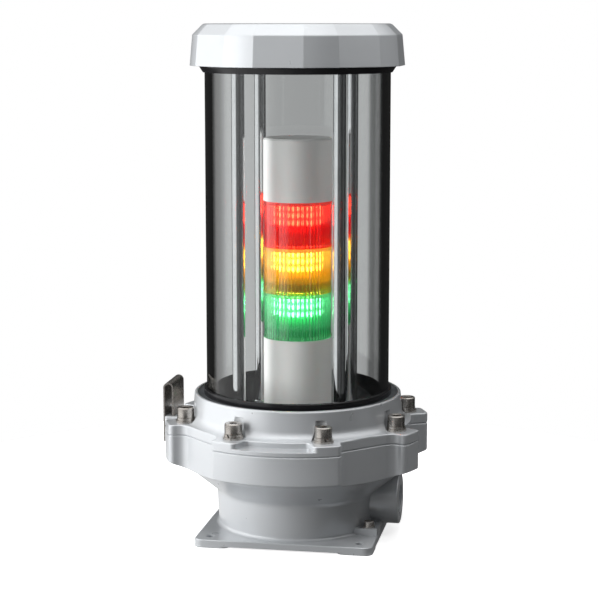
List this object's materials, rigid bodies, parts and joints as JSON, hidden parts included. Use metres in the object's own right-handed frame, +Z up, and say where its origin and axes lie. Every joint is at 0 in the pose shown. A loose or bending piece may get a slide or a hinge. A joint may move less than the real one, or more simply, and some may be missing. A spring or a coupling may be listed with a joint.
{
  "type": "stack light",
  "caption": "Flameproof stack light: cast square-plate base with conduit hub, bolted flange with collar, clear glass tube with cast cap, tie rods, and a red, yellow and green lamp tower inside.",
  "frame": {"origin": "centre of the four mounting holes in the plane of the base feet, on the axis of the lamp", "axes": "+Z up along the lamp, +X out of the conduit hub, -Y to the front"},
  "size_m": [0.2317, 0.234, 0.4446],
  "materials": {
    "cast_paint": "satin silver-grey paint on cast aluminium",
    "seal_rubber": "satin black",
    "potting": "dark grey filled compound",
    "clear_glass": "clear, polished",
    "stainless": "turned and tumbled",
    "polished_steel": "polished",
    "white_plastic": "satin white",
    "green_lens": "clear green, moulded with prisms inside",
    "yellow_lens": "clear amber yellow, moulded with prisms inside",
    "red_lens": "clear red, moulded with prisms inside",
    "board_green": "white board with green lamps",
    "board_yellow": "white board with yellow lamps",
    "board_red": "white board with red lamps",
    "pole_aluminium": "drawn tube",
    "dark_plastic": "moulded black",
    "cable_sheath": "grey sheath"
  },
  "bodies": {
    "root": {"base_housing": "cast_paint", "cover_flange": "cast_paint", "top_cap": "cast_paint", "flange_seal": "seal_rubber", "glass_bead": "seal_rubber", "cap_gasket": "seal_rubber", "glass_seat": "seal_rubber", "potting_ring": "potting", "glass_tube": "clear_glass", "cover_bolts": "stainless", "flat_washers": "stainless", "spring_washers": "stainless", "hook_strap": "stainless", "strap_screw": "stainless", "earth_screws": "stainless", "earth_washers": "stainless", "tie_rod_1": "polished_steel", "tie_rod_2": "polished_steel", "tie_rod_3": "polished_steel", "tie_rod_4": "polished_steel", "rod_nuts": "polished_steel", "tower_foot": "white_plastic", "tower_lower_tube": "white_plastic", "tower_head": "white_plastic", "foot_screws": "stainless", "block_screws": "stainless", "clamp_screws": "stainless", "lens_green": "green_lens", "lens_yellow": "yellow_lens", "lens_red": "red_lens", "lamp_board_green": "board_green", "lamp_board_yellow": "board_yellow", "lamp_board_red": "board_red", "centre_pole": "pole_aluminium", "pole_nut": "polished_steel", "terminal_block": "dark_plastic", "lead_cable": "cable_sheath"}
  },
  "joints": []
}
